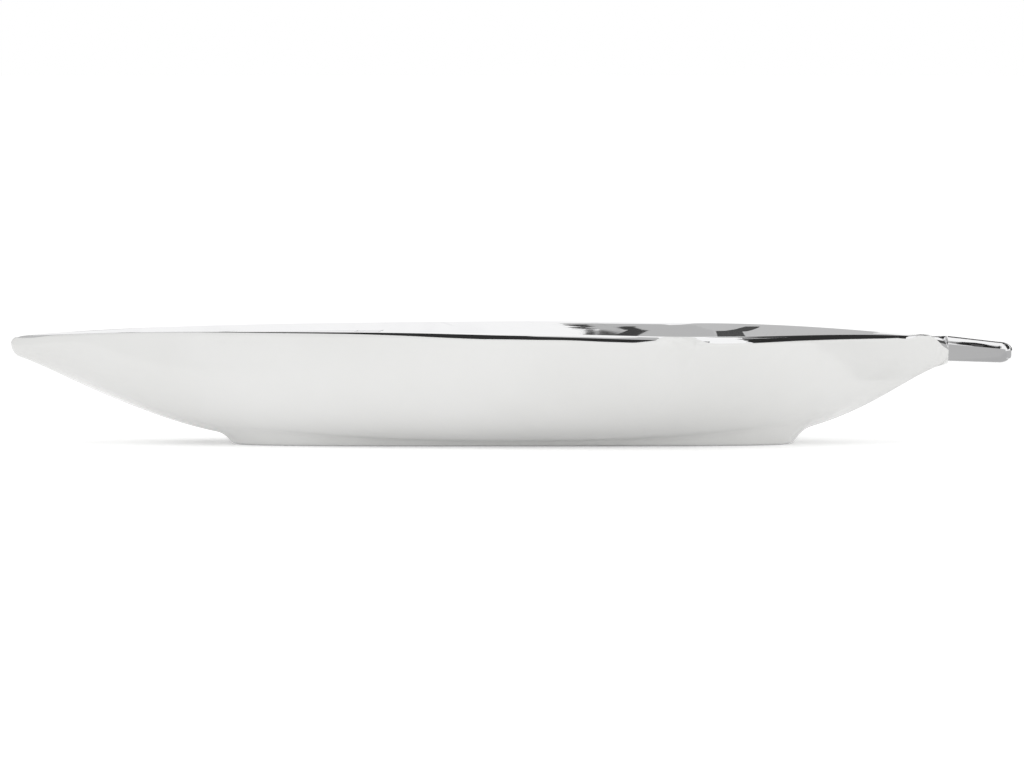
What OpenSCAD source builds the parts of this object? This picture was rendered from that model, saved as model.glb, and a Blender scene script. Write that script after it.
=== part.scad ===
// Acorn-shaped platter: a polished cast shell with white enamel outside,
// a low foot ring under it and a polished stem at the cap's end.
// Millimetres, +Z up, the tip towards -X and the stem towards +X.

/* [Overall] */
// Length from the nut's tip to the stem's end
total_len = 355; // [340:1:370]
// Height of the rim at its highest, along the nut
rim_h = 40.9; // [38.5:0.2:44]

/* [Outline] */
// Width of the nut at its shoulder
nut_w = 194; // [182:1:206]
// Width of the cap at its edge
cap_w = 200; // [188:1:212]
// Place along the length of the notch between nut and cap
notch_x = 57; // [49:1:63]
// Width of the notch along the rim
notch_w = 14; // [10:1:18]
// Depth of the notch into the rim
notch_depth = 4.5; // [3:0.5:6]
// How far the tip is pulled sideways, larger is blunter
nose_pull = 16; // [13:0.5:19]
// How far back from the shoulder the nut's side bows out
nut_pull = 96; // [86:1:104]
// How much slimmer than the shoulder that bow is
nut_slim = 13; // [8:1:17]
// How far past its edge the cap keeps its width
cap_pull = 36; // [30:1:40]
// How far before the neck the cap turns into it
neck_pull = 29; // [24:1:34]

/* [Rim] */
// Thickness of the wall at the rim
wall_t = 5.2; // [4.4:0.1:6]
// How much lower the rim is at the tip
tip_drop = 3; // [1:0.2:4]
// How much lower the rim is along the cap
cap_drop = 0.9; // [0:0.1:1.5]
// How much lower again the rim is at the stem
neck_drop = 2.2; // [1:0.2:3]
// Height of the rounded nose at the tip
nose_h = 6.3; // [5:0.1:7]
// Thickness of the nose along the length
nose_t = 11; // [9:0.5:14]
// Length over which the nose's lower edge is rounded
nose_round = 3; // [2:0.2:4]

/* [Bowl] */
// Height of the belly over the table
belly_z = 1.1; // [0.9:0.1:2]
// Thickness of the floor
floor_t = 5.2; // [4:0.2:7]
// Half length of the level keel
keel_half = 61; // [54:1:66]
// Curve of the wall towards the tip
tip_power = 2.2; // [2:0.05:2.4]
// Curve of the wall at the sides, larger is flatter below and steeper above
side_power = 4.6; // [4:0.1:5]
// Curve of the wall towards the cap's end
cap_power = 2.55; // [2.35:0.05:2.8]
// Height of the step at the cap's edge inside the dish
cap_step = 1.2; // [0.6:0.1:1.8]

/* [Foot] */
// How far towards the tip the foot meets the belly
foot_tip_x = 102; // [95:0.5:107]
// How far towards the stem the foot meets the belly
foot_cap_x = 103.5; // [97:0.5:107]
// Width of the foot where it meets the belly
foot_w = 90; // [82:1:96]
// Squareness of the foot's outline, 2 is an oval
foot_corner = 5; // [3.5:0.1:6]
// Width of the flat face that the dish rests on
foot_land = 5; // [4:0.5:6]
// Slope of the foot's outer side, run per unit of height
foot_taper = 0.85; // [0.5:0.05:1]
// Width of the foot where it joins the belly
foot_band = 12; // [11:0.5:14]

/* [Stem] */
// Length of the stem outside the neck
stem_len = 23; // [19:0.5:26]
// Width of the neck and of the stem's root
neck_w = 18; // [16:0.5:20]
// Height of the neck and of the stem's root
neck_h = 9.4; // [8.6:0.2:10.4]
// Width of the stem before its rounded end
stem_end_w = 16; // [13:0.5:18]
// Height of the stem before its rounded end
stem_end_h = 7.8; // [7:0.2:8.6]
// Length of the stem's rounded end
stem_round = 5; // [4:0.5:6]
// How much lower the stem's middle is at its end
stem_droop = 1.3; // [0.5:0.1:1.8]
// Diameter of the tenon that holds the stem
tenon_d = 5; // [4:0.2:5.6]
// Length of the tenon
tenon_len = 7; // [5:0.5:8]
// Clearance all round the tenon
tenon_gap = 0.1; // [0.05:0.05:0.2]

/* [Enamel] */
// Thickness of the enamel
enamel_t = 0.5; // [0.3:0.1:0.7]
// Height of the bare edge at the bottom of the foot
foot_bare = 0.8; // [0.6:0.1:1]
// Enamelled part of the lip's round at the sides
edge_side = 0.1; // [0.06:0.02:0.2]
// Enamelled part of the lip's round towards the tip
edge_tip = 0.28; // [0.2:0.02:0.34]
// Enamelled part of the lip's round in the notch
edge_notch = 0.36; // [0.3:0.02:0.4]
// Enamelled part of the neck's side
edge_neck = 0.38; // [0.3:0.02:0.38]
// Enamelled part of the neck's side right at the stem
edge_stem = 0.14; // [0.1:0.02:0.3]

/* [Hidden] */
// Number of steps along the nut, the notch, the cap, the neck's side and its end, and round the stem.
n_nut = 22;
n_notch = 8;
n_cap = 18;
n_neck = 3;
n_end = 3;
n_stem = 28;
n_tenon = 32;
// Crowds the cap's steps towards the neck.
cap_crowd = 1.5;
tip_x = -total_len / 2;
root_x = total_len / 2 - stem_len;
// How much the cap has narrowed where it bows out.
cap_taper = 1;
// The neck: its straight end, the run over which it forms, and how it widens.
neck_len = 3;
neck_run = 17;
neck_swell = 0.5;
neck_flare = 2.5;
// The neck's solid metal behind its end, and how the dish rounds off before it.
neck_solid = 16;
hollow_pull = [11, 10];
// Where the neck's side and its top end along the way over the lip, and how its edges are rounded.
neck_side = 0.4;
neck_top = 0.8;
neck_curl = 0.95;
neck_corner = 0.3;
neck_round = 7;
// Inward direction of the wall where the nut and the cap bow out, and the nose's inner pull.
nut_inward = [0.5, -0.9];
cap_inward = [-0.8, -1.3];
nose_inside = 0.8;
// Share of the tip's length in which the nose forms.
nose_share = 1 / 7;
// How late the rim falls towards the tip and towards the neck.
tip_fall = 4;
neck_fall = 3;
// How late the nose and the neck hang below the wall's curve.
end_fade = 12;
// How far round the sides' curve spreads.
side_spread = 4;
// Roundness of the low outline, how late it turns into the rim's, and halvings that find the foot.
halvings = 20;
egg_power = 0.85;
morph = 4;
// How near the rim the notch and the cap's step fade, and the notch's share inside.
notch_fade = 22;
notch_inside = 0.4;
step_fade = 6;
// Where the enamel's edge reaches its full height towards the tip, and how wide it pools in the notch.
edge_full_x = -75;
pool_reach = 1.3;
// Squareness of the stem's section and of its rounded end, and the tenon's root in the stem.
stem_square = 0.62;
end_square = 0.7;
tenon_root = 1;
hollow_x = root_x - neck_solid;
floor_z = belly_z + floor_t;
shoulder = [notch_x - notch_w / 2, nut_w / 2];
cap_edge = [notch_x + notch_w / 2, cap_w / 2];
neck_start = [root_x - neck_len, neck_w / 2 + neck_swell];
neck_side_end = [root_x, neck_w / 2];

function clamp(v) = max(0, min(1, v));
function ease(v) = let (c = clamp(v)) c * c * (3 - 2 * c);
function mix(a, b, t) = a + (b - a) * t;
function bez(p0, p1, p2, p3, t) =
  pow(1 - t, 3) * p0 + 3 * t * pow(1 - t, 2) * p1 + 3 * t * t * (1 - t) * p2 + pow(t, 3) * p3;
function dent_at(x) =
  let (off = (x - notch_x) / notch_w)
  abs(off) < 0.5 ? (1 + cos(360 * off)) / 2 : 0;

// Half of the rim's outside, from the tip to the middle of the neck's end, before the notch is cut.
nut_bow = [shoulder.x - nut_pull, shoulder.y - nut_slim];
cap_bow = [cap_edge.x + cap_pull, cap_edge.y - cap_taper];
neck_bow = [neck_start.x - neck_pull, neck_start.y + neck_flare];
rim_out = concat(
  [for (i = [0:n_nut]) bez([tip_x, 0], [tip_x, nose_pull], nut_bow, shoulder, i / n_nut)],
  [for (i = [1:n_notch]) mix(shoulder, cap_edge, i / n_notch)],
  [for (i = [1:n_cap])
    bez(cap_edge, cap_bow, neck_bow, neck_start, 1 - pow(1 - i / n_cap, cap_crowd))],
  [for (i = [1:n_neck]) mix(neck_start, neck_side_end, i / n_neck)],
  [for (i = [1:n_end]) mix(neck_side_end, [root_x, 0], i / n_end)]
);
last = len(rim_out) - 1;
count = 2 * last;
k_notch = n_nut + n_notch / 2;
k_cap = n_nut + n_notch;
k_corner = last - n_end;

// Half of the rim's inside, point for point with the outside.
nose_in = [tip_x + nose_t, 0];
shoulder_in = [shoulder.x, shoulder.y - wall_t];
cap_edge_in = [cap_edge.x, cap_edge.y - wall_t];
nose_bow_in = nose_in + [0, nose_inside * nose_pull];
nut_bow_in = nut_bow + wall_t * nut_inward;
cap_bow_in = cap_bow + wall_t * cap_inward;
hollow_bow = [hollow_x - hollow_pull.x, hollow_pull.y];
rim_in = concat(
  [for (i = [0:n_nut]) bez(nose_in, nose_bow_in, nut_bow_in, shoulder_in, i / n_nut)],
  [for (i = [1:n_notch]) mix(shoulder_in, cap_edge_in, i / n_notch)],
  [for (k = [k_cap + 1:last])
    bez(cap_edge_in, cap_bow_in, hollow_bow, [hollow_x, 0], (k - k_cap) / (last - k_cap))]
);

// The way round as an angle, by length along the rim, and the keel's point for each.
function run_to(k) = k == 0 ? 0 : run_to(k - 1) + norm(rim_out[k] - rim_out[k - 1]);
turn = [for (k = [0:last]) 180 * run_to(k) / run_to(last)];
keel = [for (a = turn) -keel_half * cos(a)];

// Rounder outlines that the low parts of the outside and of the inside follow.
function egg(a, from, to, w) = [mix(from, to, (1 - cos(a)) / 2), w / 2 * pow(sin(a), egg_power)];
egg_out = [for (a = turn) egg(a, tip_x, root_x, nut_w)];
egg_in = [for (a = turn) egg(a, nose_in.x, hollow_x, nut_w - 2 * wall_t)];
dent = [for (p = rim_out) notch_depth * dent_at(p.x)];

// Weights that shape the wall round the rim.
side = [for (p = rim_out) p.y / (cap_w / 2)];
along = [for (p = rim_out) (p.x - tip_x) / (root_x - tip_x)];
neckness = [for (p = rim_out) ease((p.x - root_x + neck_run) / (neck_run - neck_len))];
noseness = [for (p = rim_out) pow(clamp((p.x / tip_x - 1) / nose_share + 1), 2)];
rim_z = [for (p = rim_out) rim_h
  - tip_drop * pow(clamp(p.x / tip_x), tip_fall)
  - cap_drop * ease(p.x / cap_edge.x)
  - neck_drop * pow(clamp((p.x - cap_edge.x) / (root_x - cap_edge.x)), neck_fall)];
lip_r = wall_t / 2;
sink = [for (k = [0:last]) noseness[k] * (nose_h - lip_r) + neckness[k] * (neck_h - lip_r)];
power = [for (k = [0:last])
  let (end_power = mix(tip_power, cap_power, along[k]))
  mix(end_power, side_power, 1 - pow(1 - side[k] * side[k], side_spread))];
bow = [for (k = [0:last]) 1 + side[k] * side[k]];

// Distance in plan from the keel to the rim, and how the nose's and the neck's edges are rounded.
reach = [for (k = [0:last]) norm(rim_out[k] - [keel[k], 0])];
neck_edge = [for (p = rim_out) pow(clamp(p.y / (neck_w / 2)), 2)];
edge_len = [for (n = neckness) n > 0 ? neck_round : nose_round];
edge_turn = [for (k = [0:last]) max(sqrt(noseness[k]), neck_curl * sqrt(neckness[k]) * neck_edge[k])];
function turned_up(k, t) = sqrt(1 - pow(edge_turn[k] * clamp((t - 1) * reach[k] / edge_len[k] + 1), 2));
// A plan point between the keel and the rim, on the rounder outline below and on the rim's own above.
function plan(k, t, round, rim, cut) =
  let (p = mix(round[k], rim[k], pow(t, morph)))
  [mix(keel[k], p.x, pow(t, bow[k])), p.y * t - cut * dent[k] * pow(t, notch_fade)];
// A point of the shell's underside, t from the keel to the rim.
function under(k, t) = let (p = plan(k, t, egg_out, rim_out, 1)) [
  p.x,
  p.y,
  mix(belly_z, rim_z[k] - lip_r, pow(t, power[k]))
    - sink[k] * pow(t, end_fade) * turned_up(k, t)
];
// A point of the shell's inside, t from the floor's middle to the rim.
function inside(k, t) = let (p = plan(k, t, egg_in, rim_in, notch_inside)) [
  p.x,
  p.y,
  mix(floor_z, rim_z[k] - lip_r, pow(t, power[k]))
    + (k > k_notch ? cap_step * (1 - pow(t, step_fade)) : 0)
];
// A point of the lip, u from the outside over the crest to the inside.
function lip(k, u) =
  let (
    n = neckness[k],
    corner = neck_corner * neck_edge[k],
    v = 90 * min(1, u / neck_side),
    top = corner * (1 - cos(v)) + (1 - corner) * clamp((u - neck_side) / (1 - neck_side)),
    a = mix((1 - cos(180 * u)) / 2, top, n),
    b = mix(sin(180 * u), min(sin(v), (1 - u) / (1 - neck_top)), n),
    low = rim_z[k] - lip_r - (u < 0.5 ? sink[k] * turned_up(k, 1) : 0),
    p = mix(plan(k, 1, egg_out, rim_out, 1), plan(k, 1, egg_in, rim_in, notch_inside), a)
  )
  [p.x, p.y, mix(low, rim_z[k], clamp(b))];

// Where the foot meets the belly: a squared oval, found along each line of the wall by halving.
foot_mid = (foot_cap_x - foot_tip_x) / 2;
foot_half = (foot_cap_x + foot_tip_x) / 2;
function past_foot(p) =
  pow(abs(p.x - foot_mid) / foot_half, foot_corner) + pow(abs(p.y) / (foot_w / 2), foot_corner) > 1;
function foot_share(k, low, high, left) =
  let (m = (low + high) / 2)
  left == 0 ? m
  : past_foot(under(k, m)) ? foot_share(k, low, m, left - 1)
  : foot_share(k, m, high, left - 1);
foot_out = [for (k = [0:last]) foot_share(k, 0, 1, halvings)];
foot_in = [for (k = [0:last]) foot_out[k] - foot_band / reach[k]];
foot_z = [for (k = [0:last]) under(k, foot_out[k]).z];
// Where the enamel stops on the lip, as a share of the way over it.
enamel_top = [for (k = [0:last]) let (
    x = rim_out[k].x,
    nut_edge = mix(edge_side, edge_tip, ease(x / edge_full_x)),
    pool = ease(pool_reach - 2 * abs(x - notch_x) / notch_w)
  )
  k > k_corner - n_neck ? edge_stem : mix(mix(nut_edge, edge_notch, pool), edge_neck, neckness[k])];

// A whole ring from its half, and the faces between rings.
function mirrored(p) = [p.x, -p.y, p.z];
function ring(half) = concat(half, [for (k = [last - 1:-1:1]) mirrored(half[k])]);
function fold(i) = i <= last ? i : count - i;
function quad(a, b, c, d) = [[a, b, c], [a, c, d]];
function strip(a, b) = [for (i = [0:count - 1]) let (j = (i + 1) % count)
  each quad(a + i, b + i, b + j, a + j)];
function strip_back(a, b) = [for (i = [0:count - 1]) let (j = (i + 1) % count)
  each quad(b + i, b + j, a + j, a + i)];
function seam(a, b) = [for (i = [0:count - 1]) let (j = (i + 1) % count)
  each quad(a + fold(i), b + i, b + j, a + fold(j))];
function seam_end(a, b) = [for (i = [0:count - 1]) let (j = (i + 1) % count)
  each quad(b + fold(i), b + fold(j), a + j, a + i)];

// Rings closed by a straight seam at each end.
module closed_by_seams(first, rings, final) {
  n = len(rings);
  start = last + 1;
  end = start + n * count;
  polyhedron(
    concat(first, [for (r = rings) each r], final),
    concat(
      seam(0, start),
      [for (j = [0:n - 2]) each strip(start + j * count, start + (j + 1) * count)],
      seam_end(end - count, end)
    )
  );
}

// Rings that come round to the first again. From the ring numbered back on they lie against another
// piece, so their faces are split the same way as that piece's.
module closed_loop(rings, back) {
  n = len(rings);
  polyhedron(
    [for (r = rings) each r],
    [for (j = [0:n - 1])
      let (a = j * count, b = ((j + 1) % n) * count)
      each j < back ? strip(a, b) : strip_back(a, b)]
  );
}

// Places of the rings up the wall, over the lip and down to the floor.
wall_steps = [0, 0.16, 0.34, 0.52, 0.7, 0.84, 0.92, 0.97, 1];
edge_steps = [0.5, 1];
lip_steps = [0.2, 0.4, 0.6, 0.8, 1];
floor_steps = [0.9, 0.78, 0.66, 0.52, 0.36, 0.18];

// The enamelled outside, up the wall and on over the lip's edge; at the neck's end it stops below that.
n_wall = len(wall_steps);
n_coat = n_wall + len(edge_steps);
function wall_at(k, t) = under(k, mix(foot_out[k], 1, t));
function coat_line(k) = k < k_corner
  ? concat([for (t = wall_steps) wall_at(k, t)], [for (u = edge_steps) lip(k, u * enamel_top[k])])
  : [for (j = [1:n_coat]) wall_at(k, (j - 1) / (n_coat - 1))];
function lip_line(k) = [for (u = lip_steps) lip(k, mix(k < k_corner ? enamel_top[k] : 0, 1, u))];
function floor_line(k) = [for (t = floor_steps) inside(k, t)];
// The foot's outer side, from the junction down to the table.
function foot_at(k, z) = let (
    run = foot_taper * (foot_z[k] - z),
    p = under(k, foot_out[k] - run / reach[k])
  )
  [p.x, p.y, z];

coat_lines = [for (k = [0:last]) concat([foot_at(k, foot_bare)], coat_line(k))];
coat_rings = [for (j = [0:n_coat]) ring([for (k = [0:last]) coat_lines[k][j]])];
foot_in_ring = ring([for (k = [0:last]) under(k, foot_in[k])]);
keel_line = [for (k = [0:last]) [keel[k], 0, belly_z]];

// Outward direction of the enamelled surface at a grid point.
function coat_normal(j, i) = let (
    n = len(coat_rings) - 1,
    along_rim = coat_rings[j][(i + 1) % count] - coat_rings[j][(i + count - 1) % count],
    up_wall = coat_rings[min(j + 1, n)][i] - coat_rings[max(j - 1, 0)][i],
    v = cross(up_wall, along_rim)
  )
  v / norm(v);

stem_z = rim_z[last] - neck_h / 2;
// One ring of the stem: a squared ellipse, w wide and h high, with its middle at height z.
function stem_ring(x, w, h, z) = [for (i = [0:n_stem - 1]) let (
    c = cos(360 * i / n_stem),
    s = sin(360 * i / n_stem)
  )
  [x, w / 2 * sign(c) * pow(abs(c), stem_square), z + h / 2 * sign(s) * pow(abs(s), stem_square)]];
// The stem's rings: run from the root, width, height and share of the droop.
stem_bar = stem_len - stem_round;
stem_stations = concat(
  [for (t = [0, 0.5, 1]) [stem_bar * t, mix(neck_w, stem_end_w, t), mix(neck_h, stem_end_h, t), t]],
  [for (a = [25, 50, 70, 84])
    let (shrink = pow(cos(a), end_square))
    [stem_bar + stem_round * sin(a), stem_end_w * shrink, stem_end_h * shrink, 1]]
);

// The casting: dish, rolled lip and the neck that takes the stem's tenon.
module cast_shell() {
  color([0.8, 0.8, 0.81])
  difference() {
    closed_by_seams(
      keel_line,
      concat(
        [foot_in_ring],
        [for (j = [1:len(coat_rings) - 1]) coat_rings[j]],
        [for (j = [0:len(lip_steps) - 1]) ring([for (k = [0:last]) lip_line(k)[j]])],
        [for (j = [0:len(floor_steps) - 1]) ring([for (k = [0:last]) floor_line(k)[j]])]
      ),
      [for (k = [0:last]) inside(k, 0)]
    );
    translate([root_x - tenon_len - tenon_gap, 0, stem_z])
    rotate([0, 90, 0])
    cylinder(d = tenon_d + 2 * tenon_gap, h = tenon_len + 2 * tenon_gap, $fn = n_tenon);
  }
}

// The ring under the belly, its top lying on the casting all round.
module foot_ring() {
  color([0.78, 0.78, 0.79])
  closed_loop([
    foot_in_ring,
    ring([for (k = [0:last]) let (
        run = foot_taper * foot_z[k] + foot_land,
        p = under(k, foot_out[k] - run / reach[k])
      )
      [p.x, p.y, 0]]),
    ring([for (k = [0:last]) foot_at(k, 0)]),
    coat_rings[0],
    coat_rings[1]
  ], back = 4);
}

// The polished stem with its tenon.
module stem() {
  n = len(stem_stations);
  tip = 1 + n * n_stem;
  color([0.82, 0.82, 0.83])
  union() {
    polyhedron(
      concat(
        [[root_x, 0, stem_z]],
        [for (s = stem_stations) each stem_ring(root_x + s[0], s[1], s[2], stem_z - stem_droop * s[3])],
        [[root_x + stem_len, 0, stem_z - stem_droop]]
      ),
      concat(
        [for (i = [0:n_stem - 1]) [0, 1 + i, 1 + (i + 1) % n_stem]],
        [for (j = [0:n - 2], i = [0:n_stem - 1]) let (
            a = 1 + j * n_stem,
            b = a + n_stem,
            m = (i + 1) % n_stem
          )
          each quad(a + i, b + i, b + m, a + m)],
        [for (i = [0:n_stem - 1]) [tip - n_stem + i, tip, tip - n_stem + (i + 1) % n_stem]]
      )
    );
    translate([root_x - tenon_len, 0, stem_z])
    rotate([0, 90, 0])
    cylinder(d = tenon_d, h = tenon_len + tenon_root, $fn = n_tenon);
  }
}

// The white enamel over the foot's side and the wall up to the lip.
module outer_enamel() {
  n = len(coat_rings) - 1;
  color([0.95, 0.95, 0.94])
  closed_loop(concat(
    [for (j = [0:n]) [for (i = [0:count - 1]) coat_rings[j][i] + enamel_t * coat_normal(j, i)]],
    [for (j = [n:-1:0]) coat_rings[j]]
  ), back = n);
}

// The white enamel in the recess inside the foot.
module base_enamel() {
  color([0.93, 0.93, 0.92])
  closed_by_seams(
    [for (p = keel_line) p - [0, 0, enamel_t]],
    [[for (p = foot_in_ring) p - [0, 0, enamel_t]], foot_in_ring],
    keel_line
  );
}

cast_shell();
foot_ring();
stem();
outer_enamel();
base_enamel();
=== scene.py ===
import bmesh
import bpy
import math
import numpy as np
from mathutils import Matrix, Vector


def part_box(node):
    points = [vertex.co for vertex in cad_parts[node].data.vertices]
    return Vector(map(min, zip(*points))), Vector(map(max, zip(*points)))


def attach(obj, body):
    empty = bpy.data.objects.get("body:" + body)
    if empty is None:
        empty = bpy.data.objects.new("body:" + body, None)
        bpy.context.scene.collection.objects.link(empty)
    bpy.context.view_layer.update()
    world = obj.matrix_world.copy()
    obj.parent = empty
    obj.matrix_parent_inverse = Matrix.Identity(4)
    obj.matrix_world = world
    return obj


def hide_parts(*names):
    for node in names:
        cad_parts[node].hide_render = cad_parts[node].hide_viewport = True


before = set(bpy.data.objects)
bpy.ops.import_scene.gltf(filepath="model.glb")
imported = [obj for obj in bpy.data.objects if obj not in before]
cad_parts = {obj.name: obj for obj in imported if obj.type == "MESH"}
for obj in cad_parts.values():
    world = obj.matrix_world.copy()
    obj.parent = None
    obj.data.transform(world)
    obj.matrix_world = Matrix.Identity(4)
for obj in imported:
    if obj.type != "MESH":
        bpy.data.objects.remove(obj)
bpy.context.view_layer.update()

# The casting is the dish itself: poured in one piece, then ground and polished to a mirror inside
# and over its rolled lip. Its outside is left for the enamel, and its solid neck takes the stem.
shell_low, shell_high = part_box("cast_shell")
tip_x = shell_low[0]
root_x = shell_high[0]
belly_z = shell_low[2]
rim_h = shell_high[2]
nut_w = 0.194
cap_w = 0.200
notch_x = 0.057
notch_w = 0.014
notch_depth = 0.0038
nose_pull = 0.016
nut_pull = 0.096
nut_slim = 0.013
cap_pull = 0.036
cap_taper = 0.001
neck_w = 0.018
neck_h = 0.0094
neck_pull = 0.029
neck_len = 0.003
neck_run = 0.017
neck_swell = 0.0005
neck_flare = 0.0025
neck_solid = 0.016
neck_round = 0.007
neck_curl = 0.95
neck_corner = 0.3
wall_t = 0.0052
lip_r = wall_t / 2
floor_t = 0.0052
nose_h = 0.0063
nose_t = 0.011
nose_round = 0.003
tip_drop = 0.003
cap_drop = 0.0009
neck_drop = 0.0022
keel_half = 0.061
cap_step = 0.0012
tip_power = 2.2
side_power = 4.6
cap_power = 2.55
nose_fall = 7
step_run = 14
egg_round = 0.85
notch_fade = 22
hang_fade = 12
crest_straight = 0.85
crest_from = 0.4
lip_square = 0.6
lip_lean = 0.36
wall_lean = 0.16
wall_lean_x = -0.041
wall_lean_run = 0.0255
outline_fade = 4
floor_fade = 6
tip_drop_power = 4
neck_drop_power = 3
side_spread = 4
neck_inner = 0.2

steps_nut = 130
steps_notch = 48
steps_cap = 120
steps_neck = 14
steps_end = 10
steps_wall = 60
steps_lip = 32
cap_crowd = 1.5
wall_crowd = 1.7
below_rim = 0.995
weld_gap = 1e-7


def mix(a, b, t):
    return a + (b - a) * t


def ease(v):
    c = np.clip(v, 0, 1)
    return c * c * (3 - 2 * c)


def bezier(a, b, c, d, t):
    t = np.asarray(t)[:, None]
    return (1 - t) ** 3 * a + 3 * t * (1 - t) ** 2 * b + 3 * t * t * (1 - t) * c + t ** 3 * d


# Half of the rim's outside and inside, from the tip round to the middle of the neck's end.
tip = np.array([tip_x, 0.0])
shoulder = np.array([notch_x - notch_w / 2, nut_w / 2])
cap_edge = np.array([notch_x + notch_w / 2, cap_w / 2])
neck_start = np.array([root_x - neck_len, neck_w / 2 + neck_swell])
neck_side_end = np.array([root_x, neck_w / 2])
nut_bow = shoulder + [-nut_pull, -nut_slim]
cap_bow = cap_edge + [cap_pull, -cap_taper]
neck_bow = neck_start + [-neck_pull, neck_flare]
along_nut = np.linspace(0, 1, steps_nut + 1)
along_notch = np.linspace(0, 1, steps_notch + 1)[1:, None]
along_cap = 1 - (1 - np.linspace(0, 1, steps_cap + 1)[1:]) ** cap_crowd
along_neck = np.linspace(0, 1, steps_neck + 1)[1:, None]
along_end = np.linspace(0, 1, steps_end + 1)[1:, None]
rim_out = np.vstack([
    bezier(tip, tip + [0, nose_pull], nut_bow, shoulder, along_nut),
    mix(shoulder, cap_edge, along_notch),
    bezier(cap_edge, cap_bow, neck_bow, neck_start, along_cap),
    mix(neck_start, neck_side_end, along_neck),
    mix(neck_side_end, np.array([root_x, 0]), along_end),
])
last = len(rim_out) - 1
k_cap = steps_nut + steps_notch
k_notch = steps_nut + steps_notch // 2
k_corner = last - steps_end

nose_in = tip + [nose_t, 0]
nose_in_bow = nose_in + [0, 0.8 * nose_pull]
nut_in_bow = nut_bow + [0.5 * wall_t, -0.9 * wall_t]
shoulder_in = shoulder + [0, -wall_t]
shoulder_in_bow = shoulder_in + [0.044, 0.0059]
hollow_end = np.array([root_x - neck_solid, 0])
hollow_bow = hollow_end + [-0.011, 0.010]
past_notch = 0.12
along_hollow = np.r_[np.linspace(0, past_notch, steps_notch + 1)[1:],
                     np.linspace(past_notch, 1, last - k_cap + 1)[1:]]
rim_in = np.vstack([
    bezier(nose_in, nose_in_bow, nut_in_bow, shoulder_in, along_nut),
    bezier(shoulder_in, shoulder_in_bow, hollow_bow, hollow_end, along_hollow),
])

# Weights that shape the wall round the rim.
rim_x, rim_y = rim_out.T
run = np.r_[0, np.cumsum(np.hypot(*np.diff(rim_out, axis=0).T))]
turn = np.pi * run / run[-1]
keel = -keel_half * np.cos(turn)
reach = np.hypot(rim_x - keel, rim_y)
side = rim_y / (cap_w / 2)
along = (rim_x - tip_x) / (root_x - tip_x)
off_notch = (rim_x - notch_x) / notch_w
dent = np.where(abs(off_notch) < 0.5, notch_depth * (1 + np.cos(2 * np.pi * off_notch)) / 2, 0)
neckness = ease((rim_x - root_x + neck_run) / (neck_run - neck_len))
neck_edge = np.clip(rim_y / (neck_w / 2), 0, 1) ** 2
noseness = np.clip((rim_x / tip_x - 1) * nose_fall + 1, 0, 1) ** 2
edge_len = np.where(neckness > 0, neck_round, nose_round)
edge_turn = np.maximum(np.sqrt(noseness), neck_curl * np.sqrt(neckness) * neck_edge)
past_cap = np.clip((rim_x - cap_edge[0]) / (root_x - cap_edge[0]), 0, 1)
rim_z = rim_h - tip_drop * np.clip(rim_x / tip_x, 0, 1) ** tip_drop_power
rim_z = rim_z - cap_drop * ease(rim_x / cap_edge[0]) - neck_drop * past_cap ** neck_drop_power
sink = noseness * (nose_h - lip_r) + neckness * (neck_h - lip_r)
power = mix(mix(tip_power, cap_power, along), side_power, 1 - (1 - side ** 2) ** side_spread)
step_up = cap_step * ease((np.arange(last + 1) - k_notch) / step_run + 0.5)
floor_z = belly_z + floor_t


def egg(start, end, width):
    """A rounder outline that the low parts of the dish follow."""
    x = mix(start, end, (1 - np.cos(turn)) / 2)
    return np.stack([x, width / 2 * np.clip(np.sin(turn), 0, 1) ** egg_round], 1)


egg_out = egg(tip_x, root_x, nut_w)
egg_in = egg(nose_in[0], hollow_end[0], nut_w - 2 * wall_t)
egg_in[:, 1] *= 1 - wall_lean * np.exp(-((rim_x - wall_lean_x) / wall_lean_run) ** 2)


def shares(t):
    return np.broadcast_to(t, keel.shape).astype(float)


def plan(t, low_outline, rim, notched=0.0):
    """Plan points between the keel and the rim, drawn in at the notch where notched is 1."""
    p = mix(low_outline, rim, (t ** outline_fade)[:, None])
    x = mix(keel, p[:, 0], t ** (1 + side ** 2))
    return np.stack([x, p[:, 1] * t - notched * dent * t ** notch_fade], 1)


def turned_up(t):
    """How much of the nose and the neck still hangs below the wall, less towards their rounded edges."""
    return np.sqrt(np.clip(1 - (edge_turn * np.clip((t - 1) * reach / edge_len + 1, 0, 1)) ** 2, 0, 1))


def under(t):
    """Half a ring of the casting's underside, t from the keel to the rim."""
    t = shares(t)
    z = mix(belly_z, rim_z - lip_r, t ** power) - sink * t ** hang_fade * turned_up(t)
    return np.column_stack([plan(t, egg_out, rim_out, 1), z])


def inside(t):
    """Half a ring of the dish's inside, t from the middle of the floor to the rim."""
    t = shares(t)
    z = mix(floor_z, rim_z - lip_r, t ** power) + step_up * (1 - t ** floor_fade)
    return np.column_stack([plan(t, egg_in, rim_in), z])


wall_step = inside(1) - inside(below_rim)
wall_slope = np.hypot(wall_step[:, 0], wall_step[:, 1]) / wall_step[:, 2]
lean = np.clip(lip_r / wall_t * wall_slope, 0, lip_lean)


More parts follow.
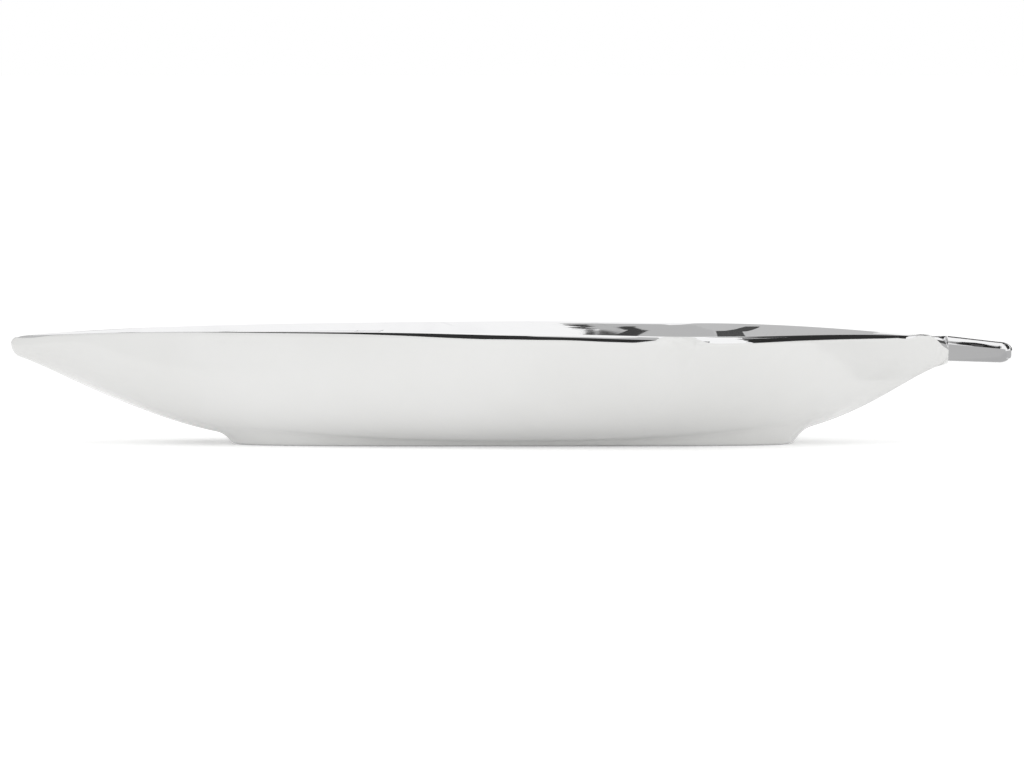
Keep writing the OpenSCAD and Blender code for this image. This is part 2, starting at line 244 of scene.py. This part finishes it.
def lip(u):
    """Half a ring of the lip, u from the outside over the crest to the inside."""
    u = shares(u)
    corner = neck_corner * neck_edge
    v = np.pi / 2 * np.minimum(1, u / crest_from)
    top = corner * (1 - np.cos(v)) + (1 - corner) * np.clip((u - crest_from) / (1 - crest_from), 0, 1)
    over = np.clip((1 - u) * np.pi, 0, np.pi / 2)
    rise, back = np.sin(over) ** lip_square, np.cos(over) ** lip_square
    round_across = np.where(u < 0.5, (1 - np.cos(np.pi * u)) / 2, 0.5 + back * (0.5 - lean * rise))
    round_up = np.where(u < 0.5, np.sin(np.pi * u), rise)
    across = mix(round_across, top, neckness)
    up = mix(round_up, np.minimum(np.sin(v), (1 - u) / neck_inner), neckness)
    low = rim_z - lip_r - np.where(u < 0.5, sink * turned_up(1), 0)
    edge_out = plan(shares(1), egg_out, rim_out, 1)
    edge_in = plan(shares(1), egg_in, rim_in)
    edge = mix(edge_out, edge_in, across[:, None])
    edge[:, 1] += crest_straight * dent * (1 - across) * ease(2 * u)
    return np.column_stack([edge, mix(low, rim_z, np.clip(up, 0, 1))])


def ring(half):
    """The whole ring from its half."""
    return np.vstack([half, half[-2:0:-1] * [1, -1, 1]])


def loft(name, rings, joined=False):
    """A smooth mesh through rings of points, closed where a ring folds into a line."""
    count = len(rings[0])
    total = len(rings)
    faces = []
    for j in range(total if joined else total - 1):
        a = j * count
        b = (j + 1) % total * count
        for i in range(count):
            m = (i + 1) % count
            faces.append((a + i, a + m, b + m, b + i))
    mesh = bpy.data.meshes.new(name)
    mesh.from_pydata(np.vstack(rings).tolist(), [], faces)
    work = bmesh.new()
    work.from_mesh(mesh)
    bmesh.ops.remove_doubles(work, verts=work.verts, dist=weld_gap)
    bmesh.ops.recalc_face_normals(work, faces=work.faces)
    work.to_mesh(mesh)
    work.free()
    mesh.shade_smooth()
    piece = bpy.data.objects.new(name, mesh)
    bpy.context.collection.objects.link(piece)
    return piece


wall_shares = 1 - np.linspace(1, 0, steps_wall) ** wall_crowd
lip_shares = np.linspace(0, 1, steps_lip + 1)[1:]
shell_rings = [ring(under(t)) for t in wall_shares]
shell_rings += [ring(lip(u)) for u in lip_shares]
shell_rings += [ring(inside(t)) for t in wall_shares[-2::-1]]
polished_dish = loft("polished_dish", shell_rings)


def wire(tree, kind, feeds=None, **settings):
    """One shader node with its settings, its inputs given as plain values or as other nodes' outputs."""
    made = tree.nodes.new("ShaderNode" + kind)
    for name, value in settings.items():
        setattr(made, name, value)
    for name, value in (feeds or {}).items():
        if isinstance(value, bpy.types.NodeSocket):
            tree.links.new(value, made.inputs[name])
        else:
            made.inputs[name].default_value = value
    return made


def new_group(name, takes, gives):
    """An empty node group with named inputs and outputs."""
    group = bpy.data.node_groups.new(name, "ShaderNodeTree")
    for label, kind in takes:
        group.interface.new_socket(name=label, in_out="INPUT", socket_type="NodeSocket" + kind)
    for label, kind in gives:
        group.interface.new_socket(name=label, in_out="OUTPUT", socket_type="NodeSocket" + kind)
    return group, group.nodes.new("NodeGroupInput").outputs, group.nodes.new("NodeGroupOutput").inputs


def blend(tree, share, low, high):
    """A colour between two others."""
    return wire(tree, "Mix", {0: share, 6: low, 7: high}, data_type="RGBA").outputs[2]


def spread(tree, value, low, high, to_low=0.0, to_high=1.0):
    """A value stretched from one range to another and held there."""
    feeds = {"Value": value, "From Min": low, "From Max": high, "To Min": to_low, "To Max": to_high}
    return wire(tree, "MapRange", feeds).outputs[0]


def noise(tree, place, scale, detail, rough, twist=0.0):
    """Soft random spots, scale of them to the metre."""
    feeds = {"Vector": place, "Scale": scale, "Detail": detail, "Roughness": rough, "Distortion": twist}
    return wire(tree, "TexNoise", feeds).outputs["Fac"]


def sum_of(tree, *parts):
    """Values times their weights, added up."""
    total = None
    for value, weight in parts:
        feeds = {0: value, 1: weight, 2: 0.0 if total is None else total}
        total = wire(tree, "Math", feeds, operation="MULTIPLY_ADD").outputs[0]
    return total


# Buffed metal: slow casting waves, lines from the buffing wheel, handling smears and stray hairlines.
buffed, takes, gives = new_group(
    "buffed_metal",
    [("Bright", "Color"), ("Dull", "Color"), ("Polish", "Float"), ("Haze", "Float"),
     ("Wave Scale", "Float"), ("Line Scale", "Float")],
    [("Tone", "Color"), ("Roughness", "Float"), ("Height", "Float")])
place = wire(buffed, "TexCoord").outputs["Object"]
long_way = wire(buffed, "Mapping", {"Vector": place, "Scale": (0.05, 1, 1)}).outputs[0]
stray_stretch = {"Vector": place, "Rotation": (0, 0, 0.9), "Scale": (0.03, 1, 0.3)}
stray_way = wire(buffed, "Mapping", stray_stretch).outputs[0]
waves = noise(buffed, place, takes["Wave Scale"], detail=1.5, rough=0.4)
lines = noise(buffed, long_way, takes["Line Scale"], detail=4, rough=0.65)
smears = spread(buffed, noise(buffed, place, 26, detail=5, rough=0.6, twist=0.8), 0.5, 0.75)
hairs = spread(buffed, noise(buffed, stray_way, 620, detail=1, rough=0.3), 0.72, 0.78)
worn = sum_of(buffed, (smears, 0.5), (lines, 0.4), (hairs, 0.5))
buffed.links.new(blend(buffed, worn, takes["Bright"], takes["Dull"]), gives["Tone"])
haze = spread(buffed, worn, 0.0, 1.0, takes["Polish"], takes["Haze"])
buffed.links.new(haze, gives["Roughness"])
buffed.links.new(sum_of(buffed, (waves, 1.0), (lines, 0.003), (hairs, -0.008)), gives["Height"])


def buffed_material(name, bright, dull, polish, haze, wave_scale, line_scale, depth):
    """A metal material that takes its marks from the buffed metal group."""
    material = bpy.data.materials.new(name)
    material.use_nodes = True
    tree = material.node_tree
    feeds = {"Bright": bright, "Dull": dull, "Polish": polish, "Haze": haze,
             "Wave Scale": wave_scale, "Line Scale": line_scale}
    marks = tree.nodes.new("ShaderNodeGroup")
    marks.node_tree = buffed
    for label, value in feeds.items():
        marks.inputs[label].default_value = value
    shader = tree.nodes["Principled BSDF"]
    shader.inputs["Metallic"].default_value = 1
    tree.links.new(marks.outputs["Tone"], shader.inputs["Base Color"])
    tree.links.new(marks.outputs["Roughness"], shader.inputs["Roughness"])
    bump = wire(tree, "Bump", {"Height": marks.outputs["Height"], "Distance": depth, "Strength": 1.0})
    tree.links.new(bump.outputs[0], shader.inputs["Normal"])
    return material


dish_metal = buffed_material("dish_metal", (0.93, 0.93, 0.935, 1), (0.84, 0.84, 0.85, 1),
                             polish=0.02, haze=0.09, wave_scale=24, line_scale=900, depth=0.00006)
polished_dish.data.materials.append(dish_metal)
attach(polished_dish, "root")
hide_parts("cast_shell")

# The foot is a low ring of the same metal joined to the belly. Its side is enamelled with the wall,
# and its land is ground flat and left bare where it rests on the table.
foot_tip_x = 0.102
foot_cap_x = 0.1035
foot_w = 0.090
foot_corner = 5
foot_land = 0.005
foot_taper = 0.85
foot_band = 0.012
foot_bare = 0.0002
foot_edge = 0.0004
foot_mid = (foot_cap_x - foot_tip_x) / 2
foot_half = (foot_cap_x + foot_tip_x) / 2
halvings = 24


def foot_share(inset):
    """Where the underside crosses the foot's outline drawn in by a length, as shares from keel to rim."""
    nearer = shares(0)
    farther = shares(1)
    for halving in range(halvings):
        middle = (nearer + farther) / 2
        x, y, z = under(middle).T
        past_end = abs(x - foot_mid) / (foot_half - inset)
        past_side = abs(y) / (foot_w / 2 - inset)
        past = past_end ** foot_corner + past_side ** foot_corner > 1
        nearer = np.where(past, nearer, middle)
        farther = np.where(past, middle, farther)
    return (nearer + farther) / 2


foot_out = foot_share(0)
foot_in = foot_share(foot_band)
foot_z = under(foot_out)[:, 2]


def foot_at(z, inset=0.0):
    """Half a ring of the foot's side at height z, inset from it by a length."""
    half = under(foot_share(foot_taper * (foot_z - z) + inset))
    half[:, 2] = z
    return half


foot_rings = [ring(under(foot_in)), ring(foot_at(0, foot_land)), ring(foot_at(0, foot_edge)),
              ring(foot_at(foot_edge / 4, foot_edge / 4)), ring(foot_at(foot_bare)), ring(under(foot_out))]
foot_base = loft("foot_base", foot_rings, joined=True)
# The foot's metal is toned darker than the polished dish. Partly this is the duller ground metal, and partly
# it is painted shade for the thin dark line where the foot's bottom edge meets the table.
foot_metal = buffed_material("foot_metal", (0.74, 0.74, 0.74, 1), (0.52, 0.52, 0.53, 1),
                             polish=0.24, haze=0.6, wave_scale=60, line_scale=420, depth=0.00015)
foot_base.data.materials.append(foot_metal)
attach(foot_base, "root")
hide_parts("foot_ring")

# The stem is a short bar of the same metal with a rounded end, polished all over.
# A tenon on its root fits a socket in the neck, so that only a fine line shows where they meet.
stem_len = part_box("stem")[1][0] - root_x
stem_end_w = 0.016
stem_end_h = 0.0078
stem_droop = 0.0013
stem_round = 0.005
stem_bury = 0.001
stem_square = 0.62
stem_end_square = 0.7
stem_z = rim_z[last] - neck_h / 2
steps_stem = 96
steps_stem_long = 24
steps_stem_end = 20


def stem_ring(x, w, h, z):
    """A squared ellipse, w wide and h high, with its middle at height z."""
    a = np.linspace(0, 2 * np.pi, steps_stem, endpoint=False)
    y = w / 2 * np.sign(np.cos(a)) * abs(np.cos(a)) ** stem_square
    rise = h / 2 * np.sign(np.sin(a)) * abs(np.sin(a)) ** stem_square
    return np.column_stack([np.full(steps_stem, x), y, z + rise])


stem_start = root_x - stem_bury
stem_rings = [stem_ring(stem_start, 0, 0, stem_z), stem_ring(stem_start, neck_w, neck_h, stem_z)]
for share in np.linspace(0, 1, steps_stem_long):
    w = mix(neck_w, stem_end_w, share)
    h = mix(neck_h, stem_end_h, share)
    stem_rings.append(stem_ring(root_x + (stem_len - stem_round) * share, w, h, stem_z - stem_droop * share))
for a in np.linspace(0, np.pi / 2, steps_stem_end)[1:]:
    shrink = max(math.cos(a), 0) ** stem_end_square
    x = root_x + stem_len - stem_round + stem_round * math.sin(a)
    stem_rings.append(stem_ring(x, stem_end_w * shrink, stem_end_h * shrink, stem_z - stem_droop))
polished_stem = loft("polished_stem", stem_rings)
stem_metal = buffed_material("stem_metal", (0.93, 0.93, 0.935, 1), (0.82, 0.82, 0.83, 1),
                             polish=0.03, haze=0.16, wave_scale=55, line_scale=1100, depth=0.0001)
polished_stem.data.materials.append(stem_metal)
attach(polished_stem, "root")
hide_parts("stem")

# The white enamel is fused to the outside of the dish and of its foot. It stops under the lip with a
# rounded edge, pools up to the crest in the notch and ends in a thick collar at the stem.
enamel_t = 0.0004
bead_run = 0.0007
fillet = 0.003
fillet_share = 0.6
collar = 0.0003
collar_back = 0.0024
collar_run = 0.0016
end_thin = 0.3
pool_rise = 2.5
pool_drop = 0.012
edge_softening = 6
steps_foot_side = 24
steps_coat_wall = 160
steps_coat_edge = 40
steps_coat = 60
# Place along the length, and how far over the lip's round the enamel was wiped back there.
edge_line = [
    (-0.178, 0.27), (-0.170, 0.27), (-0.164, 0.34), (-0.122, 0.32), (-0.056, 0.26), (-0.039, 0.20),
    (-0.022, 0.11), (-0.004, 0.05), (0.010, 0.062), (0.020, 0.08), (0.036, 0.035), (0.0445, 0.015),
    (0.047, 0.07), (0.050, 0.22), (0.0535, 0.38), (0.057, 0.42), (0.0605, 0.40), (0.0635, 0.32),
    (0.067, 0.045), (0.084, 0.04), (0.100, 0.09), (0.114, 0.10), (0.124, 0.11), (0.1345, 0.13),
    (0.1385, 0.15), (0.143, 0.23), (0.147, 0.31), (0.1508, 0.38), (0.1514, 0.34), (0.152, 0.09),
    (0.1545, 0.0),
]
enamel_top = np.interp(rim_x, *np.array(edge_line).T)
for softening in range(edge_softening):
    enamel_top[1:-1] = (enamel_top[:-2] + 2 * enamel_top[1:-1] + enamel_top[2:]) / 4
enamel_top[k_corner:] = 0
pool = pool_rise * dent / notch_depth


def outward_of(lines):
    """Outward directions of a surface given as half rings from the table up."""
    whole = np.array([ring(half) for half in lines])
    around = np.roll(whole, -1, axis=1) - np.roll(whole, 1, axis=1)
    across = np.cross(np.gradient(whole, axis=0), around)
    across = across / np.maximum(np.linalg.norm(across, axis=2, keepdims=True), 1e-12)
    return across[:, :last + 1]


def rounded(distance, run_up):
    """Grows from nothing to one over a length, like a quarter round."""
    return np.sqrt(1 - (1 - np.clip(distance / run_up, 0, 1)) ** 2)


def points_on(line, length, at):
    """Points and outward directions of a line, at lengths along it."""
    return np.column_stack([np.interp(at, length, c) for c in line.T])


up_foot = np.linspace(0, 1, steps_foot_side, endpoint=False)
up_wall = 1 - np.linspace(1, 0, steps_coat_wall) ** wall_crowd
up_edge = np.linspace(0, 1, steps_coat_edge)
foot_lines = np.array([foot_at(mix(foot_bare, foot_z, s)) for s in up_foot])
wall_lines = np.array([under(mix(foot_out, 1, s)) for s in up_wall])
edge_lines = np.array([lip(enamel_top * s) for s in up_edge])
edge_out = outward_of(edge_lines)
edge_out[:, k_corner:] = outward_of(wall_lines)[-1, k_corner:]
coat_lines = np.vstack([foot_lines, wall_lines, edge_lines[1:]])
coat_out = np.vstack([outward_of(foot_lines), outward_of(wall_lines), edge_out[1:]])
foot_end = len(foot_lines)
from_edge_mm = [0, 0.03, 0.08, 0.15, 0.23, 0.32, 0.42, 0.55, 0.7, 0.9, 1.2, 1.6, 2.1, 2.8, 3.7, 5]
from_edge = np.array(from_edge_mm) / 1000
low_shares = np.linspace(0, 1, steps_coat, endpoint=False)
coat_base = []
coat_skin = []
for k in range(last + 1):
    line = np.hstack([coat_lines[:, k], coat_out[:, k]])
    length = np.r_[0, np.cumsum(np.linalg.norm(np.diff(line[:, :3], axis=0), axis=1))]
    corner_at = length[foot_end]
    turn_run = min(fillet, fillet_share * corner_at)
    stops = np.r_[low_shares * (length[-1] - from_edge[-1]), (length[-1] - from_edge)[::-1]]
    before, after = points_on(line, length, [corner_at - turn_run, corner_at + turn_run])
    crease = (line[foot_end] + line[foot_end - 1]) / 2
    points = points_on(line, length, stops)
    turning = abs(stops - corner_at) < turn_run
    s = ((stops[turning] - corner_at) / turn_run / 2 + 0.5)[:, None]
    points[turning] = (1 - s) ** 2 * before + 2 * s * (1 - s) * crease + s * s * after
    to_top = length[-1] - stops
    to_end = root_x - points[:, 0]
    bead = rounded(to_top, bead_run)
    thick = enamel_t * bead * rounded(stops, bead_run)
    thick = thick * (1 + pool[k] * np.exp(-(to_top / pool_drop) ** 2))
    thick = thick + collar * np.exp(-((to_end - collar_back) / collar_run) ** 2) * bead
    thick = thick * mix(end_thin, 1, rounded(to_end, bead_run))
    coat_base.append(points[:, :3])
    skin = points[:, :3] + thick[:, None] * points[:, 3:]
    coat_skin.append(np.column_stack([skin[:, :2], np.minimum(skin[:, 2], rim_z[k])]))
coat_base = [ring(half) for half in np.array(coat_base).transpose(1, 0, 2)]
coat_skin = [ring(half) for half in np.array(coat_skin).transpose(1, 0, 2)]
white_wall = loft("white_wall", coat_skin + coat_base[-2:0:-1], joined=True)

# Fired enamel: a faint uneven tone, the soft ripple of melted glass, orange peel and a few pinholes.
fired, takes, gives = new_group(
    "fired_enamel",
    [("White", "Color"), ("Shade", "Color"), ("Gloss", "Float"), ("Satin", "Float"),
     ("Peel Scale", "Float")],
    [("Tone", "Color"), ("Roughness", "Float"), ("Height", "Float")])
place = wire(fired, "TexCoord").outputs["Object"]
cloud = spread(fired, noise(fired, place, 16, detail=4, rough=0.55), 0.3, 0.75)
ripple = noise(fired, place, 42, detail=1.5, rough=0.4)
peel = noise(fired, place, takes["Peel Scale"], detail=1, rough=0.4)
cells = wire(fired, "TexVoronoi", {"Vector": place, "Scale": 75.0})
rare = spread(fired, cells.outputs["Color"], 0.86, 0.9)
pin = spread(fired, cells.outputs["Distance"], 0.02, 0.05, 1.0, 0.0)
pinholes = wire(fired, "Math", {0: rare, 1: pin}, operation="MULTIPLY").outputs[0]
shaded = sum_of(fired, (cloud, 0.7), (pinholes, 0.6))
fired.links.new(blend(fired, shaded, takes["White"], takes["Shade"]), gives["Tone"])
dulling = noise(fired, place, 60, detail=4, rough=0.6)
fired.links.new(spread(fired, dulling, 0.35, 0.7, takes["Gloss"], takes["Satin"]), gives["Roughness"])
fired.links.new(sum_of(fired, (ripple, 1.0), (peel, 0.05), (pinholes, -0.2)), gives["Height"])


def fired_material(name, white, shade, gloss, satin, peel_scale, depth):
    """A white enamel that takes its variation from the fired enamel group."""
    material = bpy.data.materials.new(name)
    material.use_nodes = True
    tree = material.node_tree
    coat = tree.nodes.new("ShaderNodeGroup")
    coat.node_tree = fired
    feeds = {"White": white, "Shade": shade, "Gloss": gloss, "Satin": satin, "Peel Scale": peel_scale}
    for label, value in feeds.items():
        coat.inputs[label].default_value = value
    shader = tree.nodes["Principled BSDF"]
    tree.links.new(coat.outputs["Tone"], shader.inputs["Base Color"])
    tree.links.new(coat.outputs["Roughness"], shader.inputs["Roughness"])
    bump = wire(tree, "Bump", {"Height": coat.outputs["Height"], "Distance": depth, "Strength": 1.0})
    tree.links.new(bump.outputs[0], shader.inputs["Normal"])
    return material


wall_enamel = fired_material("wall_enamel", (0.885, 0.885, 0.875, 1), (0.83, 0.83, 0.815, 1),
                             gloss=0.12, satin=0.22, peel_scale=300, depth=0.0004)
white_wall.data.materials.append(wall_enamel)
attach(white_wall, "root")
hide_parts("outer_enamel")

# The same white enamel covers the shallow recess inside the foot. It is a thin, even coat,
# fused to the belly and hidden while the dish stands on the table.
steps_recess = 24
recess_rings = [ring(under(foot_in * s)) for s in np.linspace(0, 1, steps_recess)]
white_base = loft("white_base", [r - [0, 0, enamel_t] for r in recess_rings] + recess_rings[::-1])
base_enamel = fired_material("base_enamel", (0.86, 0.86, 0.85, 1), (0.78, 0.78, 0.765, 1),
                             gloss=0.12, satin=0.3, peel_scale=300, depth=0.0004)
white_base.data.materials.append(base_enamel)
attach(white_base, "root")
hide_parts("base_enamel")

# The set is a white floor under even white light, with a large soft lamp to the right of the camera.
# Dark and grey cards stand round it, out of view, for the polished metal to reflect.
floor_half = 20
floor_own = 0.11
floor_seen = 0.22
sky_own = 0.85
sky_seen = 0.15


def glow(tree, own, seen):
    """A strength that is higher where the camera, a mirror or glass looks straight at it."""
    path = wire(tree, "LightPath").outputs
    looks = [(path[ray], seen) for ray in ("Is Camera Ray", "Is Glossy Ray", "Is Transmission Ray")]
    return sum_of(tree, *looks, (1.0, own))


floor_corners = [(x * floor_half, y * floor_half, 0) for x, y in ((-1, -1), (1, -1), (1, 1), (-1, 1))]
floor_mesh = bpy.data.meshes.new("floor")
floor_mesh.from_pydata(floor_corners, [], [(0, 1, 2, 3)])
floor = bpy.data.objects.new("floor", floor_mesh)
bpy.context.collection.objects.link(floor)
floor_white = bpy.data.materials.new("floor_white")
floor_white.use_nodes = True
tree = floor_white.node_tree
shader = tree.nodes["Principled BSDF"]
shader.inputs["Base Color"].default_value = (0.9, 0.9, 0.9, 1)
shader.inputs["Roughness"].default_value = 0.9
shader.inputs["Specular IOR Level"].default_value = 0
shader.inputs["Emission Color"].default_value = (1, 1, 1, 1)
tree.links.new(glow(tree, floor_own, floor_seen), shader.inputs["Emission Strength"])
floor.data.materials.append(floor_white)

world = bpy.data.worlds.new("studio")
bpy.context.scene.world = world
world.use_nodes = True
tree = world.node_tree
sky = tree.nodes["Background"]
sky.inputs["Color"].default_value = (1, 1, 1, 1)
tree.links.new(glow(tree, sky_own, sky_seen), sky.inputs["Strength"])

lamp_data = bpy.data.lights.new("soft_lamp", "AREA")
lamp_data.shape = "RECTANGLE"
lamp_data.size = 2.0
lamp_data.size_y = 1.2
lamp_data.energy = 8
lamp = bpy.data.objects.new("soft_lamp", lamp_data)
bpy.context.collection.objects.link(lamp)
lamp_x = 0.7
lamp_y = -2.9
lamp_z = 0.5
lamp.location = (lamp_x, lamp_y, lamp_z)
lamp.rotation_euler = (math.atan2(math.hypot(lamp_x, lamp_y), lamp_z), 0, math.atan2(lamp_x, -lamp_y))
lamp.visible_glossy = False


def reflected(name, points, across, tone, faces_to=(0, 0, 0)):
    """A card seen only in reflections and from its face, through rows of so many points across."""
    faces = []
    for j in range(len(points) // across - 1):
        for i in range(across - 1):
            a = across * j + i
            faces.append((a, a + 1, a + across + 1, a + across))
    mesh = bpy.data.meshes.new(name)
    mesh.from_pydata(points, [], faces)
    if sum(p.normal.dot(Vector(faces_to) - p.center) for p in mesh.polygons) < 0:
        mesh.flip_normals()
    sheet = bpy.data.objects.new(name, mesh)
    bpy.context.collection.objects.link(sheet)
    material = bpy.data.materials.new(name)
    material.use_nodes = True
    tree = material.node_tree
    shader = tree.nodes["Principled BSDF"]
    back = wire(tree, "NewGeometry").outputs["Backfacing"]
    front = wire(tree, "Math", {0: 1.0, 1: back}, operation="SUBTRACT").outputs[0]
    tree.links.new(front, shader.inputs["Alpha"])
    shader.inputs["Base Color"].default_value = (0, 0, 0, 1)
    shader.inputs["Specular IOR Level"].default_value = 0
    shader.inputs["Emission Color"].default_value = (tone, tone, tone, 1)
    shader.inputs["Emission Strength"].default_value = 1
    mesh.materials.append(material)
    sheet.visible_camera = False
    sheet.visible_diffuse = False
    sheet.visible_shadow = False
    sheet.visible_transmission = False


steps_card = 25


def toward(bearing, height):
    """The direction at a bearing from the back of the set and a height, both in radians."""
    level = math.cos(height)
    return np.array([level * math.sin(bearing), level * math.cos(bearing), math.sin(height)])


def card(name, corners, tone, far=30.0):
    """A bent card round the dish, its corners given by bearing and height in degrees."""
    near_low, far_low, far_high, near_high = np.radians(np.array(corners, float))
    points = []
    for v in np.linspace(0, 1, steps_card):
        for w in np.linspace(0, 1, steps_card):
            bearing, height = mix(mix(near_low, far_low, w), mix(near_high, far_high, w), v)
            points.append(tuple(far * toward(bearing, height)))
    reflected(name, points, steps_card, tone)


card("ceiling_card", [(-114, 60), (-64, 64), (-64, 71), (-114, 71)], 0.03)
card("left_dark_card", [(-163, 12), (-118, 40), (-112, 71), (-163, 62)], 0.03)
card("back_dark_card", [(16, 24), (56, 18), (56, 52), (24, 48)], 0.03)
card("right_dark_card", [(56, 14), (94, 14), (84, 42), (56, 50)], 0.03)
card("back_left_line_card", [(-8, 1), (-1.8, 1), (-1.8, 14), (-8, 14)], 0.35)
card("back_line_card", [(2.2, 2), (8, 2), (8, 24), (2.2, 24)], 0.1)
card("back_gap_card", [(8, 18), (18, 18), (18, 41), (8, 31)], 0.03)
card("back_low_card", [(7, 1), (52, 1), (52, 13), (7, 13)], 0.12)
card("window_bar_high", [(114, 71.8), (129.3, 67.6), (129.8, 69), (114, 73.6)], 0.06)
card("window_bar", [(129.3, 67.6), (144, 54.8), (144, 58), (129.3, 69)], 0.06)
card("window_bar_turn", [(144, 54.8), (150, 38.5), (150, 41.5), (144, 58)], 0.06)
card("window_bar_low", [(150, 35.5), (153, 49), (153, 52.8), (150, 39.4)], 0.01)
card("front_low_card", [(151.05, 46), (153, 54.2), (153, 58), (151.55, 57.5)], 0.06)
card("front_dark_card", [(149.6, 57.5), (157, 57.5), (153, 68), (149.8, 65.2)], 0.06)
card("front_join_card", [(145, 63), (149.6, 57.6), (149.6, 64.6), (145, 67)], 0.06)
card("front_bump_card", [(131.5, 71.8), (145, 63), (149.6, 64.6), (133.5, 73)], 0.06)
card("stripe_card", [(-52.2, 47.9), (-31.6, 43.1), (-28.4, 45.4), (-45, 55.7)], 0.08)
card("stripe_end_card", [(-63.5, 50.3), (-52.2, 47.9), (-45, 55.7), (-56, 61)], 0.08)
card("left_card", [(-128, 3), (-5, 3), (-5, 62), (-110, 62)], 0.55, 31)
card("left_top_card", [(-180, 60), (-5, 60), (-5, 90), (-180, 90)], 0.5, 31)
card("right_top_card", [(98, 74), (114, 72.7), (114, 90), (98, 90)], 0.5, 31)
card("front_top_card", [(114, 72.7), (129.3, 68.3), (129.3, 90), (114, 90)], 0.5, 31)
card("front_side_card", [(129.3, 68.3), (144, 56.3), (144, 90), (129.3, 90)], 0.5, 31)
card("front_grey_card", [(144, 56.3), (152, 44.5), (184, 90), (144, 90)], 0.5, 31)
card("front_wide_card", [(151.5, 44.5), (198, 44.5), (198, 90), (151.5, 90)], 0.5, 32)

# A dark sheet and a white one lie side by side a little above the near lip, over the nut's shoulder.
sheet_z = rim_h + 0.049
sheet_seam = [(-0.053, 0.0185), (-0.0405, -0.019), (-0.030, -0.051), (-0.019, -0.075), (-0.005, -0.090)]
dark_side = [(-0.13, 0.012), (-0.13, -0.02), (-0.13, -0.05), (-0.10, -0.09), (-0.03, -0.12)]
white_side = [(0.04, 0.0185), (0.04, -0.019), (0.04, -0.051), (0.04, -0.075), (0.028, -0.0945)]
for name, far_side, tone in (("lip_dark_card", dark_side, 0.03), ("lip_white_card", white_side, 1.0)):
    reflected(name, [(x, y, sheet_z) for x, y in sheet_seam + far_side], len(sheet_seam), tone)

# Small dark and grey cards are held near the stem and the neck. The stem's are bent round its length,
# by bearings that go from the back over the top to the front.
stem_axis = stem_z - 0.5 * stem_droop
stem_middle = (0.165, 0, stem_axis)


def round_stem(x, bearing, far):
    return x, far * math.cos(bearing), stem_axis + far * math.sin(bearing)


dark_far = 0.1
dark_shift = 0.02
dark_x = np.linspace(0.1560, 0.1745, steps_card)
dark_back = np.interp(dark_x, [0.1560, 0.1576, 0.1613, 0.166, 0.171, 0.1745], [133, 90, 75, 86, 122, 150])
dark_front = np.interp(dark_x, [0.1560, 0.1613, 0.166, 0.1745], [141, 144, 150, 156])
stem_shadow = []
for v in np.linspace(0, 1, 9):
    for x, bearing in zip(dark_x, np.radians(mix(dark_back, dark_front, v))):
        stem_shadow.append(round_stem(x + dark_shift, bearing, dark_far))
reflected("stem_dark_card", stem_shadow, steps_card, 0.02, stem_middle)

trough_far = 0.03
trough_x = np.linspace(0.153, 0.22, 5)
stem_trough = []
for bearing in np.radians(np.linspace(152, 300, steps_card)):
    stem_trough += [round_stem(x, bearing, trough_far) for x in trough_x]
reflected("stem_grey_card", stem_trough, len(trough_x), 0.48, stem_middle)

neck_far = 0.04
neck_half = 5
neck_point = np.array([0.1526, -0.0088, 0.0365])
neck_ways = [(118, 57), (128, 51.5), (136, 44.5), (142, 36), (146, 30), (150, 23), (154, 13), (157, 6)]
neck_sheet = []
for lift in (-neck_half, neck_half):
    for bearing, height in neck_ways:
        way = toward(*np.radians((bearing, height + lift)))
        neck_sheet.append(tuple(neck_point + neck_far * way))
reflected("neck_dark_card", neck_sheet, len(neck_ways), 0.09, tuple(neck_point))

stop_x = 0.23
stop_half = 0.06
stop_low = 0.002
stop_high = stem_axis + 0.006
stem_stop = [(stop_x, y, z) for z in (stop_low, stop_high) for y in (-stop_half, stop_half)]
reflected("stem_end_card", stem_stop, 2, 0.48, stem_middle)

# The camera stands far off, a little above the rim, and looks square at the dish's side.
camera_at = np.array([0.0, -4.5, 0.159])
look_at = np.array([-0.0001, 0.0, 0.0207])
camera_data = bpy.data.cameras.new("camera")
camera_data.lens = 446
camera_data.sensor_width = 36
camera_data.clip_end = 100
camera = bpy.data.objects.new("camera", camera_data)
bpy.context.collection.objects.link(camera)
camera.location = camera_at
aim = look_at - camera_at
tilt = math.asin(aim[2] / np.linalg.norm(aim))
camera.rotation_euler = (math.pi / 2 + tilt, 0, -math.atan2(aim[0], aim[1]))
bpy.context.scene.camera = camera
bpy.context.scene.view_settings.view_transform = "Standard"
